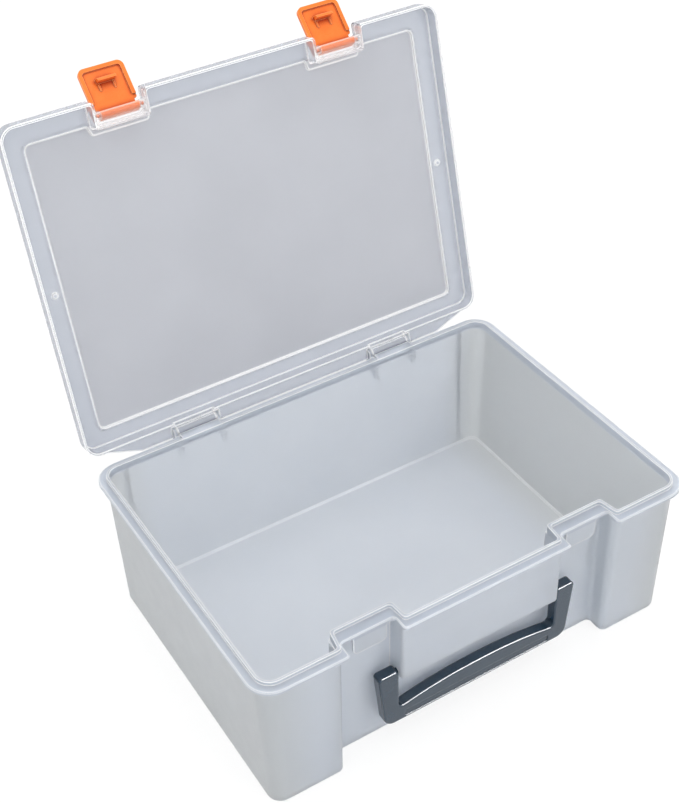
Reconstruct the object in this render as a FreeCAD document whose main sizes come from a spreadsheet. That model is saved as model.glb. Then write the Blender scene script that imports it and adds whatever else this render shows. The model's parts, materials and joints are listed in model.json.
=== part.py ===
import FreeCAD, Part
import Sketcher
import math
import os
import re

# Hinged carrying case: a drafted tray with a flanged rim, a lid, two latches and a swinging handle.
# Units are millimetres. X runs across, Y from front to back and Z up.
# The origin is the middle of the base's underside. The case stands open, as at rest.

SIZES = {
    # Case walls
    "case_width": 360.0,
    "case_depth": 255.0,
    "flange_top": 130.0,
    "wall": 2.8,
    "floor_thickness": 2.7,
    "base_inset": 2.3,
    "corner_radius": 13.5,
    "base_bevel": 1.6,
    "floor_bevel": 1.6,
    # Flange and lip round the mouth
    "flange_height": 4.0,
    "flange_overhang": 5.7,
    "flange_bevel": 0.9,
    "lip_height": 2.8,
    "lip_thickness": 2.0,
    # Front recess between the two pillars
    "recess_depth": 16.5,
    "recess_corner": 4.0,
    "pillar_rounding": 5.0,
    "pillar_gap": 1.5,
    # Raised block that carries the handle
    "block_shoulder": 2.0,
    "block_setback": 1.2,
    "block_bottom": 67.5,
    "block_rounding": 3.5,
    # Rim behind and in front of each latch
    "latch_spacing": 183.4,
    "notch_side_gap": 1.7,
    "notch_corner": 3.0,
    "jog_inner_gap": 0.6,
    "jog_outer_gap": 2.2,
    "jog_inner_slant": 1.5,
    "jog_outer_slant": 3.0,
    "jog_corner": 3.0,
    # Catches that hang from the flange
    "catch_width": 27.0,
    "catch_thickness": 2.4,
    "catch_drop": 15.0,
    "catch_corner": 4.0,
    "catch_foot_height": 2.0,
    "catch_foot_depth": 2.0,
    "catch_gap": 0.6,
    # Hinge rods, their ears and the eyes that turn on them
    "hinge_spacing": 183.4,
    "hinge_rise": 1.5,
    "hinge_clearance": 0.5,
    "rod_radius": 2.0,
    "eye_radius": 3.8,
    "eye_width": 34.5,
    "eye_slot_width": 12.0,
    "ear_thickness": 3.0,
    "ear_drop": 18.0,
    "flap_thickness": 1.6,
    "flap_end_inset": 15.7,
    "flap_slant": 28.0,
    "running_fit": 0.1,
    "side_gap": 0.3,
    # Ribs on the back wall
    "rib_inset": 21.0,
    "rib_thickness": 2.0,
    "rib_reach": 5.0,
    # Lid tray
    "lid_setback": 2.0,
    "lid_back_setback": 1.2,
    "lid_corner": 12.0,
    "lid_wall": 2.0,
    "lid_height": 13.7,
    "lid_seat_gap": 0.3,
    "lid_rounding": 2.0,
    "lip_gap": 0.3,
    # Stepped panel in the lid
    "panel_rise": 2.0,
    "panel_side_band": 18.7,
    "panel_front_band": 18.8,
    "panel_back_band": 15.1,
    "panel_corner": 5.0,
    "panel_notch_gap": 7.4,
    "panel_notch_flare": 5.0,
    "panel_notch_corner": 2.0,
    "nub_radius": 2.2,
    "nub_height": 1.0,
    # Latch pockets in the lid
    "pocket_side_gap": 1.6,
    "pocket_corner": 2.5,
    "trough_thickness": 1.0,
    "trough_gap": 0.8,
    "barrel_gap": 0.4,
    "boss_wall": 1.6,
    # Latches
    "latch_width": 36.0,
    "latch_length": 37.0,
    "latch_thickness": 2.4,
    "latch_corner": 5.0,
    "latch_shoulder": 6.5,
    "latch_border": 3.0,
    "latch_border_height": 1.4,
    "plate_gap": 1.4,
    "pivot_clearance": 0.6,
    "barrel_radius": 2.6,
    "barrel_width": 31.0,
    "latch_pin_radius": 1.5,
    "latch_pin_length": 3.0,
    "hook_width": 14.3,
    "hook_thickness": 2.5,
    "hook_bite": 2.0,
    "hook_gap": 0.4,
    "leg_thickness": 1.2,
    "leg_length": 7.0,
    "leg_height": 0.9,
    # Handle
    "handle_thickness": 9.0,
    "handle_back_gap": 3.0,
    "handle_rounding": 1.4,
    "handle_pivot_rise": 4.0,
    "handle_pin_radius": 2.4,
    "handle_pin_overrun": 0.9,
    "arm_gap": 0.5,
    "arm_width": 17.0,
    "arm_taper": 5.0,
    "arm_rise": 3.5,
    "arm_corner": 3.0,
    "grip_bottom": 20.0,
    "grip_height": 14.5,
    "grip_arch": 7.5,
    "grip_corner": 9.0,
    "grip_inner_corner": 4.0,
    "groove_inset": 4.5,
    "groove_height": 7.0,
    "groove_rise": 1.8,
    "groove_depth": 0.7,
}

ANGLES = {
    "open_angle": 104.76,
    "latch_travel_angle": 121.0,
    "lid_taper_angle": 1.5,
}

SHARES = {
    "block_edge_share": 0.6,
    "ear_round_share": 0.9,
    "nub_place_share": 0.64,
    "plate_edge_share": 0.33,
    "hook_nose_share": 0.5,
    "hook_root_share": 1.4,
    "arch_share": 0.88,
    "leg_place_share": 0.36,
}

# Places that follow from the sizes
DERIVED = {
    "half_width": "case_width / 2",
    "half_depth": "case_depth / 2",
    "front": "0 - half_depth",
    "flange_bottom": "flange_top - flange_height",
    "draft": "atan(base_inset / flange_bottom)",
    "base_half_width": "half_width - base_inset",
    "base_half_depth": "half_depth - base_inset",
    "base_corner": "corner_radius - base_inset",
    # Latches and the rim round them, seen from above
    "half_latch": "latch_spacing / 2",
    "pocket_half_width": "latch_width / 2 + pocket_side_gap",
    "pocket_inner": "half_latch - pocket_half_width",
    "pocket_outer": "half_latch + pocket_half_width",
    "jog_back_inner": "pocket_inner - lid_wall - jog_inner_gap",
    "jog_back_outer": "pocket_outer + lid_wall + jog_outer_gap",
    "notch_inner": "half_latch - latch_width / 2 - notch_side_gap",
    "block_half_width": "notch_inner - block_shoulder",
    "recess_half_width": "jog_back_outer + pillar_gap",
    "recess_base_half": "recess_half_width + base_inset",
    "recess_back": "front + recess_depth",
    "recess_base": "recess_back + base_inset",
    "block_front": "front + block_setback",
    "block_hollow_half": "block_half_width - wall",
    "pocket_wall": "recess_back + wall - lip_thickness - lip_gap - lid_wall",
    "pivot_world": "pocket_wall - plate_reach - latch_thickness - pivot_clearance",
    "notch_back": "pivot_world + catch_gap",
    # Hinges
    "half_hinge": "hinge_spacing / 2",
    "hinge_y": "half_depth + flange_overhang + eye_radius + hinge_clearance",
    "hinge_z": "flange_top + hinge_rise",
    "ear_inner": "eye_width / 2 + side_gap",
    "ear_clear": "ear_inner + ear_thickness + side_gap",
    "wall_middle": "half_depth - wall / 2",
    # Lid, from the hinge axis
    "lid_half_width": "half_width + flange_overhang - lid_setback",
    "lid_front": "front - flange_overhang + lid_setback - hinge_y",
    "lid_back": "half_depth + flange_overhang - lid_back_setback - hinge_y",
    "lid_rim": "lid_seat_gap - hinge_rise",
    "lid_top": "lid_rim + lid_height",
    "lid_ceiling": "lid_top - lid_wall",
    "plate_clear": "lip_height + lid_seat_gap - hinge_rise",
    "pocket_back": "pocket_wall - hinge_y",
    "pivot_y": "pivot_world - hinge_y",
    "pivot_rise": "lid_seat_gap + trough_thickness + barrel_gap + barrel_radius",
    "pivot_z": "pivot_rise - hinge_rise",
    "boss_radius": "latch_pin_radius + running_fit + boss_wall",
    "boss_start": "barrel_width / 2 + side_gap",
    "boss_reach": "pocket_half_width + lid_wall / 2 - boss_start",
    "bore_reach": "barrel_width / 2 + latch_pin_length + side_gap",
    # Latch, from its pivot
    "plate_reach": "boss_radius + plate_gap",
    "plate_inner": "0 - plate_reach",
    "plate_middle": "plate_inner - latch_thickness / 2",
    "plate_outer": "plate_inner - latch_thickness",
    "catch_bottom": "flange_bottom - catch_drop",
    "hook_top": "catch_bottom - hook_gap - flange_top - pivot_rise",
    "hook_tip": "catch_gap + hook_bite",
    "latch_half": "latch_width / 2",
    "barrel_half": "barrel_width / 2",
    # Handle
    "handle_y": "recess_back - handle_back_gap - handle_thickness",
    "handle_pivot_y": "handle_y + handle_thickness / 2",
    "handle_pivot_z": "block_bottom + handle_pivot_rise",
    "handle_pin_length": "arm_gap + wall + handle_pin_overrun",
    "arm_inner": "block_half_width + arm_gap",
    "arm_outer": "arm_inner + arm_width",
    "arm_foot": "arm_outer - arm_taper",
    "arm_top": "handle_pivot_z + arm_rise",
    "grip_end_top": "grip_bottom + grip_height",
    "arch_half": "arm_inner / 2",
    "arch_radius": "2 * arch_share * arch_half * arch_half / grip_arch",
    "groove_half": "arm_inner - groove_inset",
}

X_AXIS = FreeCAD.Vector(1, 0, 0)
Z_AXIS = FreeCAD.Vector(0, 0, 1)

doc = FreeCAD.newDocument("case")
sheet = doc.addObject("Spreadsheet::Sheet", "Sizes")
CELLS = {**SIZES, **ANGLES, **SHARES}
for row, (alias, size) in enumerate(CELLS.items(), start=1):
    sheet.set("A%d" % row, alias.replace("_", " "))
    sheet.set("B%d" % row, str(size))
    sheet.setAlias("B%d" % row, alias)
doc.recompute()


# Names, numbers and planes

def expand(text):
    """Turn names of sizes into an expression on the sheet's cells."""
    def swap(match):
        word = match.group(0)
        if word in DERIVED:
            return "(" + expand(DERIVED[word]) + ")"
        if word in CELLS:
            return "Sizes." + word
        return word
    return re.sub(r"[a-z_]+", swap, text)


def value(text):
    """Number that an expression of named sizes gives."""
    result = sheet.evalExpression(expand(text))
    return float(getattr(result, "Value", result))


def minus(text):
    return "0 - (" + text + ")"


def origin_plane(body, role):
    return [item for item in body.Origin.OriginFeatures if item.Role == role][0]


def near(a, b):
    return abs(a - b) < value("running_fit")


def edge_points(edge):
    """Both ends and the middle of an edge."""
    middle = (edge.FirstParameter + edge.LastParameter) / 2
    return [edge.valueAt(at) for at in (edge.FirstParameter, middle, edge.LastParameter)]


# Sketches

def new_sketch(body, name, plane, at):
    """Sketch on one of the body's own planes, moved to a place along its normal."""
    sketch = body.newObject("Sketcher::SketchObject", name)
    sketch.AttachmentSupport = (origin_plane(body, plane), "")
    sketch.MapMode = "FlatFace"
    place = minus(at) if plane == "XZ_Plane" else at
    sketch.setExpression("AttachmentOffset.Base.z", expand(place))
    return sketch


def bind(sketch, constraint, text):
    index = sketch.addConstraint(constraint)
    sketch.setExpression("Constraints[%d]" % index, expand(text))


def pin_point(sketch, item, end, across, along):
    """Tie a point to the origin by its two named coordinates."""
    bind(sketch, Sketcher.Constraint("DistanceX", -1, 1, item, end, value(across)), across)
    bind(sketch, Sketcher.Constraint("DistanceY", -1, 1, item, end, value(along)), along)


def corner_arc(before, here, after, radius):
    """Round a corner: the two tangent points, the arc, and whether it turns left."""
    back = (before - here).normalize()
    ahead = (after - here).normalize()
    half_turn = back.getAngle(ahead) / 2
    run = radius / math.tan(half_turn)
    centre = here + (back + ahead).normalize() * (radius / math.sin(half_turn))
    first = here + back * run
    second = here + ahead * run
    left_turn = (here - before).cross(ahead).z > 0
    low, high = (first, second) if left_turn else (second, first)
    low_angle = math.atan2(low.y - centre.y, low.x - centre.x)
    high_angle = math.atan2(high.y - centre.y, high.x - centre.x)
    arc = Part.ArcOfCircle(Part.Circle(centre, Z_AXIS, radius), low_angle, high_angle)
    return first, second, arc, left_turn


def add_outline(sketch, corners):
    """Closed outline: each corner is (across, along, radius) in named sizes, "0" for a sharp one."""
    count = len(corners)
    spots = [FreeCAD.Vector(value(across), value(along), 0) for across, along, radius in corners]
    rounded = []
    for index, (across, along, radius) in enumerate(corners):
        here = spots[index]
        if radius == "0":
            rounded.append((here, here, None, True))
        else:
            after = spots[(index + 1) % count]
            rounded.append(corner_arc(spots[index - 1], here, after, value(radius)))
    lines = []
    for index in range(count):
        start = rounded[index][1]
        end = rounded[(index + 1) % count][0]
        lines.append(sketch.addGeometry(Part.LineSegment(start, end), False))
    for index, (across, along, radius) in enumerate(corners):
        point = sketch.addGeometry(Part.Point(spots[index]), True)
        pin_point(sketch, point, 1, across, along)
        before = lines[index - 1]
        after = lines[index]
        arc, left_turn = rounded[index][2:]
        if arc is None:
            sketch.addConstraint([Sketcher.Constraint("Coincident", before, 2, point, 1),
                                  Sketcher.Constraint("Coincident", after, 1, point, 1)])
            continue
        curve = sketch.addGeometry(arc, False)
        first_end, second_end = (1, 2) if left_turn else (2, 1)
        sketch.addConstraint([Sketcher.Constraint("Tangent", before, 2, curve, first_end),
                              Sketcher.Constraint("Tangent", curve, second_end, after, 1),
                              Sketcher.Constraint("PointOnObject", point, 1, before),
                              Sketcher.Constraint("PointOnObject", point, 1, after)])
        bind(sketch, Sketcher.Constraint("Radius", curve, value(radius)), radius)


def outline(body, name, corners, at="0", plane="XY_Plane"):
    sketch = new_sketch(body, name, plane, at)
    add_outline(sketch, corners)
    return sketch


def pair(body, name, corners, at="0", plane="XY_Plane"):
    """One sketch with an outline on the right and its mirror image on the left."""
    sketch = outline(body, name, corners, at, plane)
    add_outline(sketch, [(minus(across), along, radius) for across, along, radius in reversed(corners)])
    return sketch


def disc(body, name, across, along, radius, at="0", plane="YZ_Plane"):
    """Sketch of one circle."""
    sketch = new_sketch(body, name, plane, at)
    centre = FreeCAD.Vector(value(across), value(along), 0)
    item = sketch.addGeometry(Part.Circle(centre, Z_AXIS, value(radius)), False)
    pin_point(sketch, item, 3, across, along)
    bind(sketch, Sketcher.Constraint("Radius", item, value(radius)), radius)
    return sketch


def block_corners(left, right, low, high, radius="0"):
    return [(left, low, radius), (right, low, radius), (right, high, radius), (left, high, radius)]


def both_sides(right_half):
    """Full outline from its right half: the front's middle, round the right, to the back's middle."""
    left_half = [(minus(across), along, radius) for across, along, radius in reversed(right_half)]
    return left_half + right_half


# Solid features

def extrude(body, kind, sketch, length, taper, flip):
    """Pad or pocket a sketch and make sure that it changed the solid."""
    before = body.Shape.Volume if body.Tip else 0
    feature = body.newObject("PartDesign::" + kind, sketch.Name + "_" + kind.lower())
    feature.Profile = sketch
    feature.Reversed = flip
    feature.setExpression("Length", expand(length))
    if taper:
        feature.setExpression("TaperAngle", expand(taper))
    sketch.Visibility = False
    doc.recompute()
    grown = body.Shape.Volume - before
    if grown == 0 or (grown > 0) != (kind == "Pad"):
        raise RuntimeError("%s changes nothing: %.4f" % (feature.Name, grown))
    return feature


def pad(body, sketch, length, taper=None, flip=False):
    return extrude(body, "Pad", sketch, length, taper, flip)


def pocket(body, sketch, length, taper=None, flip=True):
    """Cut along the sketch's normal, or against it where flip is False."""
    return extrude(body, "Pocket", sketch, length, taper, flip)


def mirror(body, name, features):
    """Repeat features on the other side of the middle."""
    before = body.Shape.Volume
    twin = body.newObject("PartDesign::Mirrored", name)
    twin.Originals = features
    twin.MirrorPlane = (origin_plane(body, "YZ_Plane"), [""])
    body.Tip = twin
    doc.recompute()
    if body.Shape.Volume == before:
        raise RuntimeError("%s mirrors nothing" % name)


def dress_edges(body, kind, name, size, wanted):
    """Fillet or chamfer the edges whose ends and middle all pass a test."""
    names = []
    for index, edge in enumerate(body.Shape.Edges, start=1):
        if all(wanted(point) for point in edge_points(edge)):
            names.append("Edge%d" % index)
    base = body.Tip
    dressed = body.newObject("PartDesign::" + kind, name)
    dressed.Base = (base, names)
    dressed.setExpression("Radius" if kind == "Fillet" else "Size", expand(size))
    doc.recompute()
    if dressed.Shape.isNull() or dressed.Shape.Volume == base.Shape.Volume:
        raise RuntimeError("%s changes nothing on %d edges" % (name, len(names)))


def round_edges(body, name, radius, wanted):
    dress_edges(body, "Fillet", name, radius, wanted)


def bevel_edges(body, name, size, wanted):
    dress_edges(body, "Chamfer", name, size, wanted)


# Outlines seen from above

def wall_outline(inset):
    """Base of the walls with the front recess, drawn in by an inset."""
    front_line = minus("base_half_depth") + " + " + inset
    side_line = "base_half_width - (" + inset + ")"
    recess_side = "recess_base_half + " + inset
    corner = "base_corner - (" + inset + ")"
    return both_sides([
        (recess_side, "recess_base + " + inset, "recess_corner + " + inset),
        (recess_side, front_line, "pillar_rounding - (" + inset + ") / 2"),
        (side_line, front_line, corner),
        (side_line, "base_half_depth - (" + inset + ")", corner),
    ])


def flange_outline():
    reach = "half_width + flange_overhang"
    front_line = "front - flange_overhang"
    back_line = "half_depth + flange_overhang"
    notch_outer = "recess_half_width - pillar_gap"
    return both_sides([
        ("notch_inner", front_line, "notch_corner"),
        ("notch_inner", "notch_back", "notch_corner"),
        (notch_outer, "notch_back", "notch_corner"),
        (notch_outer, front_line, "notch_corner"),
        (reach, front_line, "corner_radius + flange_overhang"),
        (reach, back_line, "corner_radius + flange_overhang"),
    ])


def lip_outline(inset):
    """Lip, which jogs inwards behind each latch, drawn in by an inset from the walls."""
    front_line = "front + " + inset
    side_line = "half_width - (" + inset + ")"
    jog_line = "recess_back + " + inset
    corner = "corner_radius - (" + inset + ")"
    extra = inset + " - wall + lip_thickness"
    return both_sides([
        ("jog_back_inner - jog_inner_slant - (" + extra + ")", front_line, "jog_corner"),
        ("jog_back_inner - (" + extra + ")", jog_line, "jog_corner"),
        ("jog_back_outer + " + extra, jog_line, "jog_corner"),
        ("jog_back_outer + jog_outer_slant + " + extra, front_line, "jog_corner"),
        (side_line, front_line, corner),
        (side_line, "half_depth - (" + inset + ")", corner),
    ])


def lid_outline(inset):
    """Lid's edge with a pocket for each latch, drawn in by an inset."""
    front_line = "lid_front + " + inset
    side_line = "lid_half_width - (" + inset + ")"
    corner = "lid_corner - (" + inset + ")"
    low = "pocket_inner - (" + inset + ")"
    high = "pocket_outer + " + inset
    return both_sides([
        (low, front_line, "pocket_corner"),
        (low, "pocket_back + " + inset, "pocket_corner"),
        (high, "pocket_back + " + inset, "pocket_corner"),
        (high, front_line, "pocket_corner"),
        (side_line, front_line, corner),
        (side_line, "lid_back - (" + inset + ")", corner),
    ])


def panel_outline(grow):
    """Stepped panel of the lid, which gives way to the latch pockets, grown all round."""
    front_line = "lid_front + panel_front_band - (" + grow + ")"
    side_line = "lid_half_width - panel_side_band + " + grow
    jog_line = "pocket_back + panel_notch_gap - (" + grow + ")"
    corner = "panel_corner + " + grow
    return both_sides([
        ("pocket_inner - panel_notch_flare + " + grow, front_line, "panel_notch_corner"),
        ("pocket_inner - lid_wall * 2 + " + grow, jog_line, "panel_notch_corner"),
        ("pocket_outer + lid_wall - (" + grow + ")", jog_line, "panel_notch_corner"),
        ("pocket_outer + panel_notch_flare - (" + grow + ")", front_line, "panel_notch_corner"),
        (side_line, front_line, corner),
        (side_line, "lid_back - panel_back_band + " + grow, corner),
    ])


# Case

def on_flange_rim(point):
    """True on the flange's outer rim, its notches with it."""
    clear = value("flange_overhang / 4")
    beyond_side = abs(point.x) > value("half_width") + clear
    beyond_front = abs(point.y) > value("half_depth") + clear
    notch_low = value("notch_inner") - clear / 2
    notch_high = value("recess_half_width - pillar_gap") + clear / 2
    in_notch = notch_low < abs(point.x) < notch_high and point.y < value("notch_back") + clear
    return beyond_side or beyond_front or in_notch


def add_case_walls(body):
    """Drafted walls with the recess, then the block in the recess."""
    pad(body, outline(body, "outer_form", wall_outline("0")), "flange_bottom", "draft")
    bevel_edges(body, "base_edge", "base_bevel", lambda p: near(p.z, 0))
    block_top = "recess_base + wall"
    block = block_corners(minus("block_half_width"), "block_half_width", "block_front", block_top)
    block[0] = block[0][:2] + ("block_rounding",)
    block[1] = block[1][:2] + ("block_rounding",)
    pad(body, outline(body, "block_form", block, "block_bottom"), "flange_bottom - block_bottom")
    low = value("block_bottom")
    wall_face = value("recess_back - wall")
    round_edges(body, "block_edge", "block_rounding * block_edge_share",
                lambda p: near(p.z, low) and p.y < wall_face)


def add_rim(body):
    """Flange with its bevelled rim, the lip on it and the raised plates at the hinges."""
    pad(body, outline(body, "flange_form", flange_outline(), "flange_bottom"), "flange_height")
    for name, level in (("flange_upper_edge", "flange_top"), ("flange_lower_edge", "flange_bottom")):
        height = value(level)
        bevel_edges(body, name, "flange_bevel", lambda p: near(p.z, height) and on_flange_rim(p))
    pad(body, outline(body, "lip_form", lip_outline("wall - lip_thickness"), "flange_top"), "lip_height")
    plate = block_corners("half_hinge - eye_width / 2", "half_hinge + eye_width / 2",
                          "wall_middle", "half_depth + flange_overhang - flange_bevel")
    pad(body, pair(body, "hinge_plates", plate, "flange_top"), "lip_height")


def add_catches(body):
    """Tongues that hang from the flange, each with a foot turned towards the wall."""
    left = "half_latch - catch_width / 2"
    right = "half_latch + catch_width / 2"
    root = "flange_bottom + flange_height / 2"
    tongue = [
        (left, "catch_bottom", "catch_corner"),
        (right, "catch_bottom", "catch_corner"),
        (right, root, "0"),
        (left, root, "0"),
    ]
    pad(body, pair(body, "catch_tongues", tongue, "notch_back", "XZ_Plane"), "catch_thickness", flip=True)
    foot = block_corners(left + " + catch_corner", right + " - catch_corner", "notch_back",
                         "notch_back + catch_thickness + catch_foot_depth")
    pad(body, pair(body, "catch_feet", foot, "catch_bottom"), "catch_foot_height")


def add_back(body):
    """Hinge brackets and ribs on the back wall."""
    rib = [
        ("base_half_depth - wall / 2", "base_inset", "0"),
        ("base_half_depth + rib_thickness / 2", "base_inset", "0"),
        ("half_depth + rib_reach", "flange_bottom", "0"),
        ("wall_middle", "flange_bottom", "0"),
    ]
    made = [pad(body, outline(body, "rib", rib, "half_width - rib_inset - rib_thickness / 2", "YZ_Plane"),
                "rib_thickness")]
    ear = [
        ("wall_middle", "flange_bottom - ear_drop", "0"),
        ("hinge_y + eye_radius", "flange_bottom", "eye_radius"),
        ("hinge_y + eye_radius", "hinge_z + eye_radius", "eye_radius * ear_round_share"),
        ("hinge_y - eye_radius", "hinge_z + eye_radius", "eye_radius * ear_round_share"),
        ("hinge_y - eye_radius", "flange_top", "0"),
        ("wall_middle", "flange_top", "0"),
    ]
    sides = (("ear_near", "half_hinge - ear_inner - ear_thickness"), ("ear_far", "half_hinge + ear_inner"))
    for name, start in sides:
        made.append(pad(body, outline(body, name, ear, start, "YZ_Plane"), "ear_thickness"))
    rod = disc(body, "rod", "hinge_y", "hinge_z", "rod_radius", "half_hinge - ear_inner")
    made.append(pad(body, rod, "ear_inner * 2"))
    mirror(body, "back_mirror", made)


def hollow_case(body):
    """Open the inside, the mouth, the block and the holes for the handle's pins."""
    sketch = outline(body, "hollow", wall_outline("wall"), "floor_thickness")
    pocket(body, sketch, "flange_bottom - floor_thickness", "draft")
    floor = value("floor_thickness")
    bevel_edges(body, "floor_edge", "floor_bevel", lambda p: near(p.z, floor))
    pocket(body, outline(body, "mouth", lip_outline("wall"), "flange_bottom"), "flange_height + lip_height")
    inside = block_corners(minus("block_hollow_half"), "block_hollow_half", "block_front + wall",
                           "recess_base + wall * 2")
    sketch = outline(body, "block_hollow", inside, "block_bottom + wall")
    pocket(body, sketch, "flange_bottom - block_bottom - wall")
    hole = disc(body, "pin_hole", "handle_pivot_y", "handle_pivot_z", "handle_pin_radius + running_fit",
                "block_half_width - wall * 2")
    mirror(body, "pin_hole_mirror", [pocket(body, hole, "wall * 3")])


def make_case():
    body = doc.addObject("PartDesign::Body", "case_shell")
    add_case_walls(body)
    add_rim(body)
    add_catches(body)
    hollow_case(body)
    add_back(body)
    return body


# Lid, drawn closed with its origin on the hinge axis

def add_lid_tray(body):
    pad(body, outline(body, "tray_form", lid_outline("0"), "lid_rim"), "lid_height", "0 - lid_taper_angle")
    top = value("lid_top")
    round_edges(body, "tray_edge", "lid_rounding", lambda p: near(p.z, top))
    panel_form = outline(body, "panel_form", panel_outline("lid_wall"), "lid_ceiling")
    pad(body, panel_form, "lid_wall + panel_rise")
    sketch = outline(body, "tray_hollow", lid_outline("lid_wall"), "lid_rim")
    pocket(body, sketch, "lid_height - lid_wall", "0 - lid_taper_angle")
    panel_hollow = outline(body, "panel_hollow", panel_outline("0"), "lid_rim")
    pocket(body, panel_hollow, "lid_height - lid_wall + panel_rise")
    across = "lid_half_width - panel_side_band * nub_place_share"
    middle = "(lid_front + lid_back) / 2"
    nub = disc(body, "nub", across, middle, "nub_radius", "lid_ceiling - nub_height", "XY_Plane")
    mirror(body, "nub_mirror", [pad(body, nub, "nub_height + lid_wall / 2")])


def add_lid_hinges(body):
    """Eyes that turn on the rods, with a web to the back skirt."""
    start = "half_hinge - eye_width / 2"
    web = [
        ("lid_back - lid_wall / 2", "lid_rim", "0"),
        ("0", "lid_rim", "0"),
        ("0", "eye_radius", "0"),
        ("lid_back - lid_wall / 2", "eye_radius", "0"),
    ]
    made = [pad(body, outline(body, "eye_web", web, start, "YZ_Plane"), "eye_width")]
    made.append(pad(body, disc(body, "eye", "0", "0", "eye_radius", start), "eye_width"))
    bore = disc(body, "eye_bore", "0", "0", "rod_radius + running_fit", start + " - side_gap")
    made.append(pocket(body, bore, "eye_width + side_gap * 2"))
    clear = [
        (minus("eye_radius"), "lid_rim - lid_wall", "0"),
        (minus("eye_radius"), "plate_clear", "0"),
        ("lid_back - lid_wall * 2", "plate_clear", "0"),
        ("lid_back - lid_wall * 2", "lid_rim - lid_wall", "0"),
    ]
    sketch = outline(body, "plate_gap_cut", clear, start + " - side_gap", "YZ_Plane")
    made.append(pocket(body, sketch, "eye_width + side_gap * 2"))
    slot = [
        (minus("eye_radius"), "rod_radius / 2", "0"),
        (minus("rod_radius") + " / 2", "rod_radius / 2", "0"),
        (minus("rod_radius") + " / 2", "eye_radius * 2", "0"),
        (minus("eye_radius"), "eye_radius * 2", "0"),
    ]
    sketch = outline(body, "eye_slot", slot, "half_hinge - eye_slot_width / 2", "YZ_Plane")
    made.append(pocket(body, sketch, "eye_slot_width"))
    mirror(body, "hinge_mirror", made)


def add_hinge_flap(body):
    """Thin flap along the lid's back edge, between and beyond the hinges, with slanted ends."""
    root = "lid_back - lid_wall / 2"
    end = "lid_half_width - flap_end_inset"
    start = "half_hinge + ear_clear"
    outer = [
        (start, root, "0"),
        (end, root, "0"),
        (end, "lid_back", "0"),
        (end + " - flap_slant", "eye_radius", "0"),
        (start, "eye_radius", "0"),
    ]
    pad(body, pair(body, "flap_ends", outer, "lid_rim"), "flap_thickness")
    middle = block_corners("ear_clear - half_hinge", "half_hinge - ear_clear", root, "eye_radius")
    pad(body, outline(body, "flap_middle", middle, "lid_rim"), "flap_thickness")


def add_latch_pockets(body):
    """Trough under each latch's barrel, and the bosses for its pins."""
    trough = block_corners("pocket_inner - lid_wall / 2", "pocket_outer + lid_wall / 2",
                           "pivot_y - barrel_radius - trough_gap", "pocket_back + lid_wall / 2")
    pad(body, pair(body, "troughs", trough, "lid_rim"), "trough_thickness")
    made = []
    sides = (("boss_near", "half_latch - boss_start - boss_reach"), ("boss_far", "half_latch + boss_start"))
    for name, start in sides:
        boss = disc(body, name, "pivot_y", "pivot_z", "boss_radius", start)
        made.append(pad(body, boss, "boss_reach"))
    bore_radius = "latch_pin_radius + running_fit"
    bore = disc(body, "pin_bore", "pivot_y", "pivot_z", bore_radius, "half_latch - bore_reach")
    made.append(pocket(body, bore, "bore_reach * 2"))
    mirror(body, "boss_mirror", made)


def lid_place():
    hinge = FreeCAD.Vector(0, value("hinge_y"), value("hinge_z"))
    return FreeCAD.Placement(hinge, FreeCAD.Rotation(X_AXIS, -value("open_angle")))


def make_lid():
    body = doc.addObject("PartDesign::Body", "lid_shell")
    add_lid_tray(body)
    add_latch_pockets(body)
    add_lid_hinges(body)
    add_hinge_flap(body)
    body.Placement = lid_place()
    return body


# Latches, drawn closed with their origin on the pivot

def add_latch_plate(body):
    foot = minus("latch_shoulder")
    end = minus("latch_length")
    plate = both_sides([
        ("latch_half", end, "latch_corner"),
        ("latch_half", foot, "latch_border / 2"),
        ("barrel_half", foot, "0"),
        ("barrel_half", "barrel_radius", "0"),
    ])
    pad(body, outline(body, "plate", plate, "plate_inner", "XZ_Plane"), "latch_thickness")
    outer = value("plate_outer")
    bevel_edges(body, "plate_edge", "latch_thickness * plate_edge_share", lambda p: near(p.y, outer))
    inner_end = end + " + latch_border"
    border = [
        (minus("latch_half"), end, "latch_corner"),
        ("latch_half", end, "latch_corner"),
        ("latch_half", foot + " - latch_border", "0"),
        ("latch_half - latch_border", foot + " - latch_border", "0"),
        ("latch_half - latch_border", inner_end, "latch_corner / 2"),
        ("latch_border - latch_half", inner_end, "latch_corner / 2"),
        ("latch_border - latch_half", foot + " - latch_border", "0"),
        (minus("latch_half"), foot + " - latch_border", "0"),
    ]
    sketch = outline(body, "border", border, "plate_inner", "XZ_Plane")
    pad(body, sketch, "latch_border_height", flip=True)


def add_latch_barrel(body):
    start = minus("barrel_half")
    web = [
        ("plate_middle", minus("barrel_radius"), "0"),
        ("0", minus("barrel_radius / 2"), "0"),
        ("0", "barrel_radius", "0"),
        ("plate_middle", "barrel_radius", "0"),
    ]
    pad(body, outline(body, "web", web, start, "YZ_Plane"), "barrel_width")
    pad(body, disc(body, "barrel", "0", "0", "barrel_radius", start), "barrel_width")
    pins = disc(body, "pins", "0", "0", "latch_pin_radius", start + " - latch_pin_length")
    pad(body, pins, "barrel_width + latch_pin_length * 2")


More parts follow.
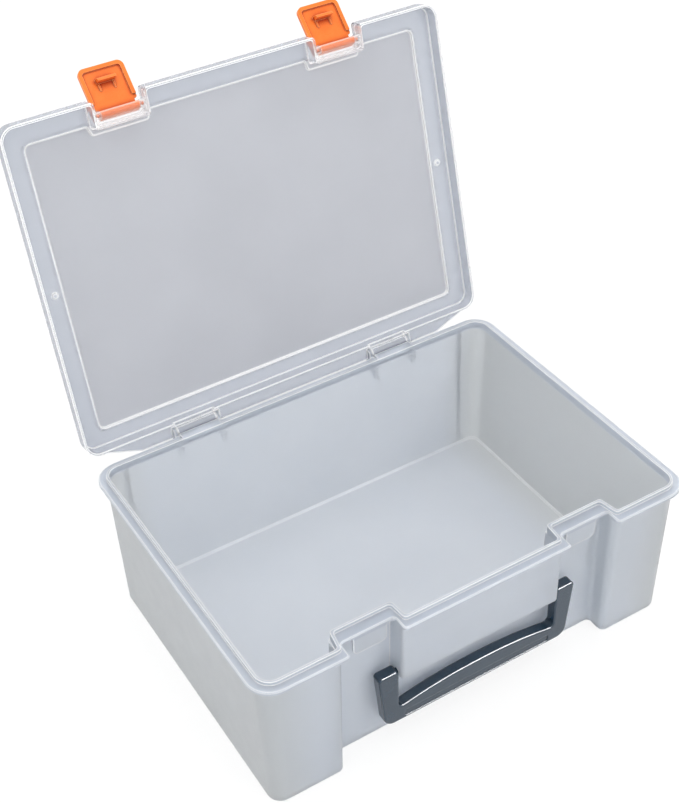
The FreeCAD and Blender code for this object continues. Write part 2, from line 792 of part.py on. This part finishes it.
def add_latch_hook(body):
    """Hook that snaps under the catch, with two short legs behind it."""
    hook = [
        ("plate_middle", "hook_top", "0"),
        ("plate_middle", "hook_top - hook_thickness * hook_root_share", "0"),
        ("hook_tip - hook_thickness * hook_nose_share", "hook_top - hook_thickness", "0"),
        ("hook_tip", "hook_top - hook_thickness * hook_nose_share", "0"),
        ("hook_tip", "hook_top", "0"),
    ]
    pad(body, outline(body, "hook", hook, minus("hook_width / 2"), "YZ_Plane"), "hook_width")
    leg_low = "hook_width * leg_place_share"
    leg = block_corners(leg_low, leg_low + " + leg_thickness", "hook_top - hook_thickness / 2",
                        "hook_top - hook_thickness / 2 + leg_length")
    pad(body, pair(body, "legs", leg, "plate_inner", "XZ_Plane"), "leg_height", flip=True)


def make_latch(name, across):
    body = doc.addObject("PartDesign::Body", name)
    add_latch_plate(body)
    add_latch_barrel(body)
    add_latch_hook(body)
    pivot = FreeCAD.Vector(value(across), value("pivot_y"), value("pivot_z"))
    turn = FreeCAD.Rotation(X_AXIS, -value("latch_travel_angle"))
    body.Placement = lid_place().multiply(FreeCAD.Placement(pivot, turn))
    return body


# Handle, hanging in the recess

def make_handle():
    body = doc.addObject("PartDesign::Body", "handle")
    inner = [
        ("arm_inner", "arm_top", "arm_corner"),
        ("arm_inner", "grip_end_top", "grip_inner_corner"),
        ("arch_half", "grip_end_top + grip_arch", "arch_radius"),
    ]
    mirrored = [(minus(across), along, radius) for across, along, radius in reversed(inner)]
    form = [
        (minus("arm_outer"), "arm_top", "arm_corner"),
        (minus("arm_foot"), "grip_bottom", "grip_corner"),
        ("arm_foot", "grip_bottom", "grip_corner"),
        ("arm_outer", "arm_top", "arm_corner"),
    ] + inner + mirrored
    pad(body, outline(body, "handle_form", form, "handle_y", "XZ_Plane"), "handle_thickness", flip=True)
    faces = (value("handle_y"), value("handle_y + handle_thickness"))
    round_edges(body, "handle_edges", "handle_rounding",
                lambda p: near(p.y, faces[0]) or near(p.y, faces[1]))
    groove = block_corners(minus("groove_half"), "groove_half", "grip_bottom + groove_rise",
                           "grip_bottom + groove_rise + groove_height", "groove_height / 4")
    sketch = outline(body, "grip_groove", groove, "handle_y", "XZ_Plane")
    pocket(body, sketch, "groove_depth", flip=False)
    pin = disc(body, "handle_pin", "handle_pivot_y", "handle_pivot_z", "handle_pin_radius",
               "arm_inner - handle_pin_length")
    mirror(body, "pin_mirror", [pad(body, pin, "handle_pin_length + arm_width / 2")])
    return body


def write_parts(bodies):
    """Check every object, then write each sub-part to its own file."""
    for item in doc.Objects:
        if "Invalid" in item.State or "Error" in item.State:
            raise RuntimeError("%s failed: %s" % (item.Name, item.State))
    for body in bodies:
        shape = body.Shape
        if shape.isNull() or not shape.isValid() or len(shape.Solids) != 1:
            raise RuntimeError("%s has no single valid solid" % body.Label)
    os.makedirs("parts", exist_ok=True)
    for body in bodies:
        body.Shape.exportStep("parts/%s.step" % body.Label)
        print("%-12s volume %.0f mm3, faces %d" % (body.Label, body.Shape.Volume, len(body.Shape.Faces)))


parts = [make_case(), make_lid(), make_handle()]
parts.append(make_latch("latch_left", minus("half_latch")))
parts.append(make_latch("latch_right", "half_latch"))
doc.recompute()
write_parts(parts)
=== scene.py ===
# %% [markdown]
# # A frosted carrying case
# The object is a moulded polypropylene case for slim photo boxes. It stands open: a drafted tray with a
# flanged rim, a tray lid that leans back on two snap hinges, two orange latches on the lid, and a dark
# handle that hangs in the front recess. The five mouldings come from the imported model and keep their
# places and shapes. This script gives them their finishes, with the grain and softened edges that are too
# small for the solids, and sets a studio.

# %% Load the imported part
import json
import math

import bpy
from mathutils import Matrix, Vector

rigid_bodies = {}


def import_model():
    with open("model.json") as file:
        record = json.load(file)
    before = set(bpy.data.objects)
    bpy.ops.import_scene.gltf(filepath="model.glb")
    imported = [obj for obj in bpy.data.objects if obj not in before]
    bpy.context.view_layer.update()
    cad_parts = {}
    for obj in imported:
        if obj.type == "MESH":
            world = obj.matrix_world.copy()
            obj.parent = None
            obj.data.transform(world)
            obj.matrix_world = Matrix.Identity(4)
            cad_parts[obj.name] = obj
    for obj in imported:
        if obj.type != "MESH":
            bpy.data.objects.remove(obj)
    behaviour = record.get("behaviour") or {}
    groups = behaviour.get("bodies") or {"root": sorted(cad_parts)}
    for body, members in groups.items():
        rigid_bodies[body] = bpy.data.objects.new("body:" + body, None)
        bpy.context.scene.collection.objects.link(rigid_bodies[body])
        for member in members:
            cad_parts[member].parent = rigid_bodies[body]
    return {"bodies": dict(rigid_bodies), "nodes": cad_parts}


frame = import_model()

MM = 0.001
nodes = frame["nodes"]
kept = set(nodes.values()) | set(frame["bodies"].values())
# Whatever else the start file holds goes.
for stray in set(bpy.data.objects) - kept:
    bpy.data.objects.remove(stray)
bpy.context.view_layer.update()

# %% [markdown]
# ## Camera
# A product picture of a low, wide object is taken from above one front corner, so that the inside, the
# front and one side all show. A lens of about 63 mm on a full-frame sensor keeps the far edges from
# shrinking too much. The place and the three turns below are worked out from the case's own straight
# edges, and the camera is built from them as a matrix: right, up and backwards.

# %% Camera
CAMERA_PLACE = Vector((-430.17, -669.12, 855.49)) * MM
CAMERA_YAW = 30.337
CAMERA_PITCH = 39.189
CAMERA_ROLL = -2.286
CAMERA_LENS = 63.409


def camera_matrix(place, yaw, pitch, roll):
    """Matrix of a camera that looks yaw degrees right of +Y and pitch degrees down."""
    yaw, pitch, roll = (math.radians(angle) for angle in (yaw, pitch, roll))
    forward = Vector((math.sin(yaw) * math.cos(pitch), math.cos(yaw) * math.cos(pitch), -math.sin(pitch)))
    level = Vector((math.cos(yaw), -math.sin(yaw), 0))
    upright = level.cross(forward)
    right = level * math.cos(roll) + upright * math.sin(roll)
    up = upright * math.cos(roll) - level * math.sin(roll)
    turn = Matrix((right, up, -forward)).transposed().to_4x4()
    return Matrix.Translation(place) @ turn


camera_data = bpy.data.cameras.new("camera")
camera_data.lens = CAMERA_LENS
camera_data.clip_start = 0.01
camera = bpy.data.objects.new("camera", camera_data)
camera.matrix_world = camera_matrix(CAMERA_PLACE, CAMERA_YAW, CAMERA_PITCH, CAMERA_ROLL)
bpy.context.scene.collection.objects.link(camera)
bpy.context.scene.camera = camera
print("camera at", [round(c, 3) for c in camera.location])

# %% [markdown]
# ## Helpers for materials
# Colours are written as the sRGB hex values that an eye would pick, and Blender's shaders want linear
# light, so one function turns them. Another small function adds any node with its settings and links,
# which keeps each material short enough to read as a recipe.

# %% Colour and node helpers


def linear(hex_colour):
    """sRGB hex colour, such as "#C3C7D0", as linear red, green, blue and alpha."""
    channels = [int(hex_colour[at:at + 2], 16) / 255 for at in (1, 3, 5)]
    return [c / 12.92 if c <= 0.04045 else ((c + 0.055) / 1.055) ** 2.4 for c in channels] + [1.0]


def add(tree, kind, inputs=None, **settings):
    """Add a node: settings are its own properties, inputs are values or links by socket name or number."""
    made = tree.nodes.new(kind)
    for name, setting in settings.items():
        setattr(made, name, setting)
    for name, given in (inputs or {}).items():
        if isinstance(given, bpy.types.NodeSocket):
            tree.links.new(given, made.inputs[name])
        else:
            made.inputs[name].default_value = given
    return made


def new_material(name):
    """Empty node material and its tree."""
    material = bpy.data.materials.new(name)
    material.use_nodes = True
    material.node_tree.nodes.clear()
    return material, material.node_tree


def frequency(size_mm):
    """Noise scale at which one blotch is about as wide as a real size, on Object coordinates in metres."""
    return 1 / (size_mm * MM)


def close(tree, shader):
    """Send a finished shader to the material's output."""
    add(tree, "ShaderNodeOutputMaterial", {"Surface": shader})


print("white is", linear("#FFFFFF"), "and mid grey", [round(c, 3) for c in linear("#808080")])

# %% [markdown]
# ## Edge light
# A frosted moulding is brightest along its edges, where light that runs inside the wall gets out, and a
# handled one is rubbed smooth there. On the frosted pieces that edge light is painted, as white in the colour.
# The Bevel node gives the normal that a rounded edge would have. Where that differs from the flat normal
# there is an edge, so the difference of the two is a mask for edges.

# %% Edge mask


def edge_mask(tree, radius_mm, start, end):
    """Mask that is 1 on edges and 0 a radius away from them."""
    rounded = add(tree, "ShaderNodeBevel", {"Radius": radius_mm * MM}, samples=8)
    flat = add(tree, "ShaderNodeNewGeometry")
    alike = add(tree, "ShaderNodeVectorMath", {0: rounded.outputs["Normal"], 1: flat.outputs["Normal"]},
                operation="DOT_PRODUCT")
    mask = add(tree, "ShaderNodeMapRange", {"Value": alike.outputs["Value"], "From Min": start,
                                            "From Max": end})
    return mask.outputs["Result"]


print("edge mask ready")

# %% [markdown]
# ## Zones on a piece
# One moulding can have several skins. A zone is a mask made from the piece's own coordinates, in real
# millimetres, and it blends one colour or number over another. A zone that spans the middle line is a band
# on the distance from that line, and starts a little below zero, so that its soft end doesn't show there.

# %% Zone helpers
ZONE_SOFTNESS_MM = 0.2
FROM_MIDDLE = -1.0


def math_node(tree, operation, first, second=0.0):
    """One step of arithmetic on numbers or links."""
    return add(tree, "ShaderNodeMath", {0: first, 1: second}, operation=operation).outputs[0]


def band(tree, coordinate, low, high):
    """1 where a coordinate lies between two places in millimetres, with ends 0.4 mm soft."""
    soft = ZONE_SOFTNESS_MM * MM
    rise = add(tree, "ShaderNodeMapRange", {"Value": coordinate, "From Min": low * MM - soft,
                                            "From Max": low * MM + soft})
    fall = add(tree, "ShaderNodeMapRange", {"Value": coordinate, "From Min": high * MM + soft,
                                            "From Max": high * MM - soft})
    return math_node(tree, "MULTIPLY", rise.outputs["Result"], fall.outputs["Result"])


def blended(tree, mask, under, over):
    """One number over another, where a mask is 1."""
    spread = add(tree, "ShaderNodeMapRange", {"Value": mask, "To Min": under, "To Max": over})
    return spread.outputs["Result"]


def mixed(tree, mask, under, over):
    """One colour over another, where a mask is 1."""
    return add(tree, "ShaderNodeMix", {"Factor": mask, "A": under, "B": linear(over)},
               data_type="RGBA").outputs["Result"]


print("zone helpers ready")

# %% [markdown]
# ## Melt and skin
# All five mouldings are polypropylene, whose index of refraction is 1.49. The melt leaves faint flow marks,
# and a slow noise between two shades of one colour stands for them. The skin has the fine grain of its
# mould, and no moulded edge is quite sharp. A Bevel node softens the edges and a Bump node lays the grain
# over that, because both only turn the light and leave the solids as they are.

# %% Melt and skin helpers
PLASTIC_IOR = 1.49


def melt_flow(tree, place, deep, pale, size_mm):
    """Slow blotches between two shades of the same plastic."""
    flow = add(tree, "ShaderNodeTexNoise", {"Vector": place, "Scale": frequency(size_mm), "Detail": 3.0})
    return mixed(tree, flow.outputs["Fac"], linear(deep), pale)


def skin_relief(tree, place, grain_mm, strength, depth_mm, edge_mm):
    """Fine grain of a moulded skin with softened edges: its pattern, and the normal that both give."""
    grain = add(tree, "ShaderNodeTexNoise", {"Vector": place, "Scale": frequency(grain_mm), "Detail": 2.0})
    soft = add(tree, "ShaderNodeBevel", {"Radius": edge_mm * MM}, samples=6)
    relief = add(tree, "ShaderNodeBump", {"Height": grain.outputs["Fac"], "Strength": strength,
                                          "Distance": depth_mm * MM, "Normal": soft.outputs["Normal"]})
    return grain.outputs["Fac"], relief.outputs["Normal"]


print("melt and skin helpers ready, index of refraction", PLASTIC_IOR)

# %% [markdown]
# ## Frosted polypropylene
# Natural polypropylene is milky by itself, and the mould's spark-eroded skin frosts it further: light goes
# through a wall, but no shape does unless it touches the wall. So the shader is mostly diffuse, with some
# rough transmission and some light that scatters under the skin. The skin's grain is about 0.1 mm, too fine
# for this picture, so it is drawn at 0.7 mm. The flow marks are some 60 mm wide, and smaller blotches, 14 mm
# wide, stand for the uneven frosting that shows as gloss. One function makes both mouldings' finish, so that
# the two stay alike, and each moulding adds its own zones to it.

# %% Frosted polypropylene
SCATTER = 0.5
SCATTER_MM = 3.0
FLOW_MM, FROSTING_MM, GRAIN_MM = 60, 14, 0.7
UNEVEN_RANGE = (0.6, 1.4)
FROSTED_GLOSS = (0.32, 0.46)
EDGE_THROUGH = 0.05


def frosted_polypropylene(name, deep, pale, through, edge_mm, painted_edge_light_limits, zones):
    """Milky plastic; zones gives the colour, clearness, roughness and solidity that differ by place."""
    material, tree = new_material(name)
    place = add(tree, "ShaderNodeTexCoord").outputs["Object"]
    body = melt_flow(tree, place, deep, pale, FLOW_MM)
    grain, relief = skin_relief(tree, place, GRAIN_MM, strength=0.12, depth_mm=0.05, edge_mm=0.6)
    frosting = add(tree, "ShaderNodeTexNoise", {"Vector": place, "Scale": frequency(FROSTING_MM),
                                                "Detail": 4.0})
    uneven = math_node(tree, "ADD", grain, frosting.outputs["Fac"])
    gloss = add(tree, "ShaderNodeMapRange", {"Value": uneven, "From Min": UNEVEN_RANGE[0],
                                             "From Max": UNEVEN_RANGE[1], "To Min": FROSTED_GLOSS[0],
                                             "To Max": FROSTED_GLOSS[1]}).outputs["Result"]
    body, through, gloss, solid = zones(tree, place, body, through, gloss)
    # Painted light: the edges are painted white, standing in for the light that runs in the wall and gets out
    # there.
    painted_edge_light = edge_mask(tree, edge_mm, *painted_edge_light_limits)
    colour_with_painted_light = mixed(tree, painted_edge_light, body, "#FFFFFF")
    clear = blended(tree, painted_edge_light, through, EDGE_THROUGH)
    shader = add(tree, "ShaderNodeBsdfPrincipled", {
        "Base Color": colour_with_painted_light, "Roughness": gloss, "Normal": relief, "IOR": PLASTIC_IOR,
        "Transmission Weight": clear, "Subsurface Weight": SCATTER,
        "Subsurface Radius": (1.0, 1.0, 1.0), "Subsurface Scale": SCATTER_MM * MM,
        "Specular IOR Level": 0.4, "Alpha": solid})
    close(tree, shader.outputs["BSDF"])
    return material


print("frosted finish ready, its grain drawn at", GRAIN_MM, "mm")

# %% [markdown]
# ## Rim and sides of the case
# The case's rim is thicker than its walls, so it looks a shade deeper. Its side walls get painted shade: a
# greyer, warmer tint that stands in for the lesser light falling on them. The rim is a band by height. The
# painted shade comes in over the 32 mm next to the sides, because the corners are round and a hard line would
# show there.

# %% Case finish
RIM_ENDS, RIM_COLOUR = (125.5, 140.0), "#DBE1EA"
PAINTED_SIDE_SHADE_BLEND, PAINTED_SIDE_SHADE_COLOUR = (140.0, 172.0), "#E2E5E7"


def case_zones(tree, place, body, through, gloss):
    """Painted shade on the side walls, as a warmer grey tint, and a deeper rim."""
    parts = add(tree, "ShaderNodeSeparateXYZ", {"Vector": place})
    across = math_node(tree, "ABSOLUTE", parts.outputs["X"])
    # Painted shade: the side walls are tinted greyer and warmer, for the lesser light that falls on them.
    sides = add(tree, "ShaderNodeMapRange", {"Value": across, "From Min": PAINTED_SIDE_SHADE_BLEND[0] * MM,
                                             "From Max": PAINTED_SIDE_SHADE_BLEND[1] * MM})
    body = mixed(tree, sides.outputs["Result"], body, PAINTED_SIDE_SHADE_COLOUR)
    body = mixed(tree, band(tree, parts.outputs["Z"], *RIM_ENDS), body, RIM_COLOUR)
    return body, through, gloss, 1.0


case_finish = frosted_polypropylene(
    "frosted_polypropylene_case", deep="#E2E7EE", pale="#ECF0F6", through=0.68, edge_mm=1.4,
    painted_edge_light_limits=(0.992, 0.95), zones=case_zones)
print("case finish", case_finish.name, "with a deeper rim and warmer sides")

# %% [markdown]
# ## Three skins on the lid
# The lid's mould isn't frosted evenly. Its wide panel is textured and looks grey, the border round it is
# smoother and paler, and the two pockets for the latches are polished, so that the orange barrels show
# through them. The zones are drawn in the lid's own directions. A Mapping node of the Texture kind takes a
# point back to the frame of the hinge, as if the lid were shut, and there each zone is a simple rectangle
# with soft ends. The pockets also let part of the light straight through, which lights the barrels.

# %% Lid finish
HINGE = [0.0, 137.5 * MM, 131.5 * MM]
OPEN_ANGLE = 104.76
PANEL_SIDE = 165.0
PANEL_ENDS = (-249.9, -20.6)
LATCH_PLACE = 91.7
POCKET_HALF = 21.4
POCKET_ENDS = (-275.0, -246.5)
BORDER_COLOUR, BORDER_CLEARNESS, BORDER_ROUGHNESS = "#D6DAE2", 0.6, 0.26
POCKET_COLOUR, POCKET_CLEARNESS, POCKET_ROUGHNESS = "#FAF3F5", 0.8, 0.16
POCKET_SOLIDITY = 0.3


def lid_zones(tree, place, body, through, gloss):
    """Panel as it comes, smoother border round it, and clear pockets for the latches."""
    shut = add(tree, "ShaderNodeMapping", {"Vector": place, "Location": HINGE,
                                           "Rotation": [-math.radians(OPEN_ANGLE), 0.0, 0.0]},
               vector_type="TEXTURE")
    parts = add(tree, "ShaderNodeSeparateXYZ", {"Vector": shut.outputs["Vector"]})
    across = math_node(tree, "ABSOLUTE", parts.outputs["X"])
    along = parts.outputs["Y"]
    panel = math_node(tree, "MULTIPLY", band(tree, across, FROM_MIDDLE, PANEL_SIDE),
                      band(tree, along, *PANEL_ENDS))
    from_latch = math_node(tree, "ABSOLUTE", math_node(tree, "SUBTRACT", across, LATCH_PLACE * MM))
    pocket = math_node(tree, "MULTIPLY", band(tree, from_latch, FROM_MIDDLE, POCKET_HALF),
                       band(tree, along, *POCKET_ENDS))
    border = math_node(tree, "SUBTRACT", 1.0, panel)
    body = mixed(tree, border, body, BORDER_COLOUR)
    body = mixed(tree, pocket, body, POCKET_COLOUR)
    through = blended(tree, pocket, blended(tree, border, through, BORDER_CLEARNESS), POCKET_CLEARNESS)
    gloss = blended(tree, pocket, blended(tree, border, gloss, BORDER_ROUGHNESS), POCKET_ROUGHNESS)
    solid = blended(tree, pocket, 1.0, POCKET_SOLIDITY)
    return body, through, gloss, solid


lid_finish = frosted_polypropylene(
    "frosted_polypropylene_lid", deep="#CBCDD3", pale="#D6D8DE", through=0.5, edge_mm=2.4,
    painted_edge_light_limits=(0.995, 0.955), zones=lid_zones)
print("lid finish", lid_finish.name, "with a panel, a border and two clear pockets")

# %% [markdown]
# ## Coloured polypropylene
# The latches and the handle are polypropylene too, filled with pigment, so no light goes through. Both
# come from a polished mould: satin to the touch, with a soft highlight, and rubbed paler along the edges.
# They differ only in colour, gloss, the roundness of their edges and the width of the melt's flow marks, so
# one function makes both. Their skin's grain is finer than 0.1 mm, and is drawn at 0.5 mm so that it shows.
# Ambient Occlusion, limited to the piece itself, paints shade into its creases as a deeper colour.

# %% Orange and grey polypropylene
FINE_GRAIN_MM = 0.5
PAINTED_SHADE_REACH_MM = 6
PAINTED_SHADE_LIMITS = (0.94, 0.55)
RUBBED_LIMITS = (0.985, 0.80)
COAT_ROUGHNESS = 0.1
GLOSS_SPREAD = 0.04


def pigmented_polypropylene(name, deep, pale, edge, shade, edge_mm, soft_mm, flow_mm, roughness, coat,
                            specular):
    """Opaque plastic: two body shades, paler edges, painted crease shade; coat adds a clear shine over them.
    """
    material, tree = new_material(name)
    place = add(tree, "ShaderNodeTexCoord").outputs["Object"]
    body = melt_flow(tree, place, deep, pale, flow_mm)
    # Painted shade: Ambient Occlusion darkens the colour towards the shade colour in the creases.
    open_sky = add(tree, "ShaderNodeAmbientOcclusion", {"Distance": PAINTED_SHADE_REACH_MM * MM}, samples=8,
                   only_local=True)
    painted_crease_shade = add(tree, "ShaderNodeMapRange", {"Value": open_sky.outputs["AO"],
                                              "From Min": PAINTED_SHADE_LIMITS[0], "From Max": PAINTED_SHADE_LIMITS[1]})
    body = mixed(tree, painted_crease_shade.outputs["Result"], body, shade)
    colour_with_painted_light = mixed(tree, edge_mask(tree, edge_mm, *RUBBED_LIMITS), body, edge)
    grain, relief = skin_relief(tree, place, FINE_GRAIN_MM, strength=0.06, depth_mm=0.03, edge_mm=soft_mm)
    gloss = add(tree, "ShaderNodeMapRange", {"Value": grain, "From Min": 0.3, "From Max": 0.7,
                                             "To Min": roughness - GLOSS_SPREAD,
                                             "To Max": roughness + GLOSS_SPREAD})
    shader = add(tree, "ShaderNodeBsdfPrincipled", {
        "Base Color": colour_with_painted_light, "Roughness": gloss.outputs["Result"], "Normal": relief,
        "IOR": PLASTIC_IOR, "Coat Weight": coat, "Coat Roughness": COAT_ROUGHNESS,
        "Specular IOR Level": specular})
    close(tree, shader.outputs["BSDF"])
    return material


latch_finish = pigmented_polypropylene(
    "orange_polypropylene", deep="#EC7026", pale="#F88638", edge="#FFB070", shade="#A82C04",
    edge_mm=0.7, soft_mm=0.5, flow_mm=9, roughness=0.30, coat=0.0, specular=0.3)
handle_finish = pigmented_polypropylene(
    "grey_polypropylene", deep="#182A3A", pale="#253A4B", edge="#35485A", shade="#10171F",
    edge_mm=0.8, soft_mm=1.4, flow_mm=20, roughness=0.2, coat=0.35, specular=0.4)
print("pigmented finishes", latch_finish.name, handle_finish.name)

# %% [markdown]
# ## Finishes on the pieces
# Each moulding is one plastic, so it gets one material in place of the plain one that it was loaded with. A
# piece could have a second material on some faces, but a imported solid's triangles don't follow its skins, so
# the zones are in the material.

# %% Finishes on the pieces
FINISHES = {
    "case_shell": case_finish,
    "lid_shell": lid_finish,
    "latch_left": latch_finish,
    "latch_right": latch_finish,
    "handle": handle_finish,
}
for name, finish in FINISHES.items():
    piece = nodes[name]
    piece.data.materials.clear()
    piece.data.materials.append(finish)
print("finishes", {name: finish.name for name, finish in FINISHES.items()})

# %% [markdown]
# ## World
# The picture has a white ground, and the object is lit from all round, which a plain white world does.
# Camera rays, and rays that are mirrored or go through plastic, see the world at a strength of 1, which is
# white. All other rays see it a little dimmer, so that the object's colours render about as written.

# %% World
AMBIENT = 0.98


def seen_directly(tree):
    """1 for rays from the camera and for rays that are mirrored or go through a surface, else 0."""
    path = add(tree, "ShaderNodeLightPath")
    straight = math_node(tree, "MAXIMUM", path.outputs["Is Camera Ray"], path.outputs["Is Glossy Ray"])
    return math_node(tree, "MAXIMUM", straight, path.outputs["Is Transmission Ray"])


world = bpy.data.worlds.new("studio")
world.use_nodes = True
world.node_tree.nodes.clear()
dim = add(world.node_tree, "ShaderNodeBackground", {"Color": linear("#FFFFFF"), "Strength": AMBIENT})
white = add(world.node_tree, "ShaderNodeBackground", {"Color": linear("#FFFFFF"), "Strength": 1.0})
seen = seen_directly(world.node_tree)
sky = add(world.node_tree, "ShaderNodeMixShader", {0: seen, 1: dim.outputs[0], 2: white.outputs[0]})
add(world.node_tree, "ShaderNodeOutputWorld", {"Surface": sky.outputs[0]})
bpy.context.scene.world = world
print("world at", AMBIENT)

# %% [markdown]
# ## Lamps
# Some more light comes from above and from the front right. A wide lamp overhead and a small one in front
# give it. Both are area lamps, as a studio's softboxes are, and the wider a lamp, the softer its shadows.

# %% Lamps
AIM = Vector((0.0, 0.0, 0.1))
LAMPS = [
    ("overhead_lamp", (-0.2, 0.1, 1.9), (1.8, 1.8), 12.0),
    ("front_lamp", (1.0, -1.7, 1.5), (0.35, 0.35), 8.0),
]


def area_lamp(name, place, size, power):
    """Rectangular lamp that faces the object; metres and watts."""
    lamp_data = bpy.data.lights.new(name, "AREA")
    lamp_data.shape = "RECTANGLE"
    lamp_data.size, lamp_data.size_y = size
    lamp_data.energy = power
    lamp = bpy.data.objects.new(name, lamp_data)
    lamp.location = place
    lamp.rotation_euler = (AIM - Vector(place)).to_track_quat("-Z", "Y").to_euler()
    bpy.context.scene.collection.objects.link(lamp)
    return lamp


for row in LAMPS:
    area_lamp(*row)
print("lamps", [row[0] for row in LAMPS])

# %% [markdown]
# ## A card for the handle
# A dark glossy moulding gets its crisp line of shine from a wide white card that its rounded edges mirror.
# The card here is only seen in reflections, and light linking keeps it off the frosted pieces, much as a
# photographer's flag would. It gives the handle no other light, so the handle's colour stays as written.

# %% Reflection card
card = area_lamp("handle_card", (0.95, -1.65, 1.6), (2.4, 1.3), 400.0)
card.visible_diffuse = False
card.visible_transmission = False
mirrored_on = bpy.data.collections.new("mirrors_the_card")
mirrored_on.objects.link(nodes["handle"])
card.light_linking.receiver_collection = mirrored_on

# %% [markdown]
# ## Floor
# The floor is a wide white sheet. To the camera it is mostly its own light, so that it runs into the white
# world without an edge, and for the rest it is a matt grey that takes the case's soft shadow. All other
# light meets a plain matt white.

# %% Floor
FLOOR_HALF = 4.0
FLOOR_DROP = 0.2 * MM
FLOOR_GLOW = 0.8


def white_floor():
    """Matt white that glows to the camera, and keeps the shadow."""
    material, tree = new_material("white_floor")
    matt = add(tree, "ShaderNodeBsdfDiffuse", {"Color": linear("#F4F4F4")})
    catcher = add(tree, "ShaderNodeBsdfDiffuse", {"Color": linear("#808080")})
    glow = add(tree, "ShaderNodeEmission", {"Color": linear("#FFFFFF"), "Strength": FLOOR_GLOW})
    shown = add(tree, "ShaderNodeAddShader", {0: catcher.outputs[0], 1: glow.outputs[0]})
    seen = seen_directly(tree)
    both = add(tree, "ShaderNodeMixShader", {0: seen, 1: matt.outputs[0], 2: shown.outputs[0]})
    close(tree, both.outputs[0])
    return material


floor_mesh = bpy.data.meshes.new("floor")
corners = [(-1, -1), (1, -1), (1, 1), (-1, 1)]
places = [(x * FLOOR_HALF, y * FLOOR_HALF, -FLOOR_DROP) for x, y in corners]
floor_mesh.from_pydata(places, [], [(0, 1, 2, 3)])
floor = bpy.data.objects.new("floor", floor_mesh)
floor.data.materials.append(white_floor())
bpy.context.scene.collection.objects.link(floor)
bpy.context.scene.view_settings.view_transform = "Standard"
print("floor laid")
